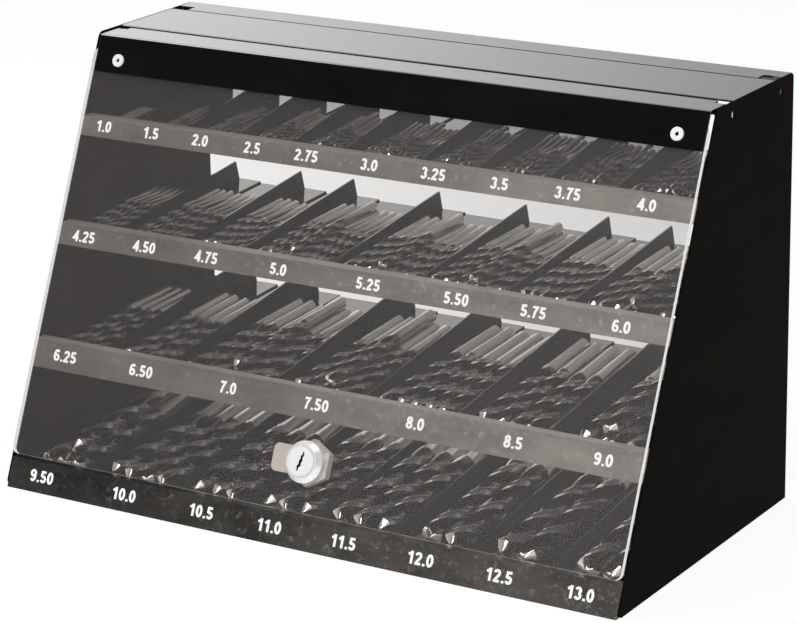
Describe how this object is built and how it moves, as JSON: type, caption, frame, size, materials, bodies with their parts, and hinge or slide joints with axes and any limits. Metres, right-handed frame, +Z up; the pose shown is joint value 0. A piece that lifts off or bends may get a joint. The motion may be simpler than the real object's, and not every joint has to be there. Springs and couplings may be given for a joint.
{
  "type": "drill bit display case",
  "caption": "Sheet steel counter-top case with four sloping divided trays of drill bits behind a clear, top-hinged, lockable front.",
  "frame": {"origin": "on the ground under the middle of the case", "axes": "+X to the viewer's right along the case, +Y to the open back, front towards -Y, +Z up"},
  "size_m": [0.38, 0.1926, 0.2345],
  "materials": {
    "black_enamel": "gloss black stoved enamel on sheet steel",
    "clear_acrylic": "clear polished acrylic",
    "aluminium": "bare aluminium rivet",
    "chrome": "polished chrome plate",
    "nickel_plate": "nickel-plated steel",
    "tool_steel": "ground high-speed steel"
  },
  "bodies": {
    "case": {"side_panel_left": "black_enamel", "side_panel_right": "black_enamel", "base_pan": "black_enamel", "top_panel": "black_enamel", "rear_top_rail": "black_enamel", "rear_rail_rivets": "black_enamel", "tray_1": "black_enamel", "tray_2": "black_enamel", "tray_3": "black_enamel", "tray_4": "black_enamel", "dividers_row_1": "black_enamel", "dividers_row_2": "black_enamel", "dividers_row_3": "black_enamel", "dividers_row_4": "black_enamel", "bits_1_00": "tool_steel", "bits_1_50": "tool_steel", "bits_2_00": "tool_steel", "bits_2_50": "tool_steel", "bits_2_75": "tool_steel", "bits_3_00": "tool_steel", "bits_3_25": "tool_steel", "bits_3_50": "tool_steel", "bits_3_75": "tool_steel", "bits_4_00": "tool_steel", "bits_4_25": "tool_steel", "bits_4_50": "tool_steel", "bits_4_75": "tool_steel", "bits_5_00": "tool_steel", "bits_5_25": "tool_steel", "bits_5_50": "tool_steel", "bits_5_75": "tool_steel", "bits_6_00": "tool_steel", "bits_6_25": "tool_steel", "bits_6_50": "tool_steel", "bits_7_00": "tool_steel", "bits_7_50": "tool_steel", "bits_8_00": "tool_steel", "bits_8_50": "tool_steel", "bits_9_00": "tool_steel", "bits_9_50": "tool_steel", "bits_10_00": "tool_steel", "bits_10_50": "tool_steel", "bits_11_00": "tool_steel", "bits_11_50": "tool_steel", "bits_12_00": "tool_steel", "bits_12_50": "tool_steel", "bits_13_00": "tool_steel"},
    "lid": {"lid_fascia": "black_enamel", "lid_pane": "clear_acrylic", "lid_pane_rivets": "aluminium", "lid_pivot_rivets": "aluminium", "lock_body": "chrome", "lock_nut": "nickel_plate"},
    "lock_core": {"lock_plug": "chrome", "lock_cam": "nickel_plate", "lock_cam_screw": "nickel_plate"}
  },
  "joints": [
    {"name": "lid_hinge", "type": "hinge", "parent": "case", "child": "lid", "pos_m": [0, 0.0248, 0.228], "axis": [-1, 0, 0], "range_deg": [0, 35]},
    {"name": "lock_turn", "type": "hinge", "parent": "lid", "child": "lock_core", "pos_m": [-0.0011, -0.0779, 0.04172], "axis": [0, 0.915, -0.4035], "range_deg": [0, 90]}
  ]
}
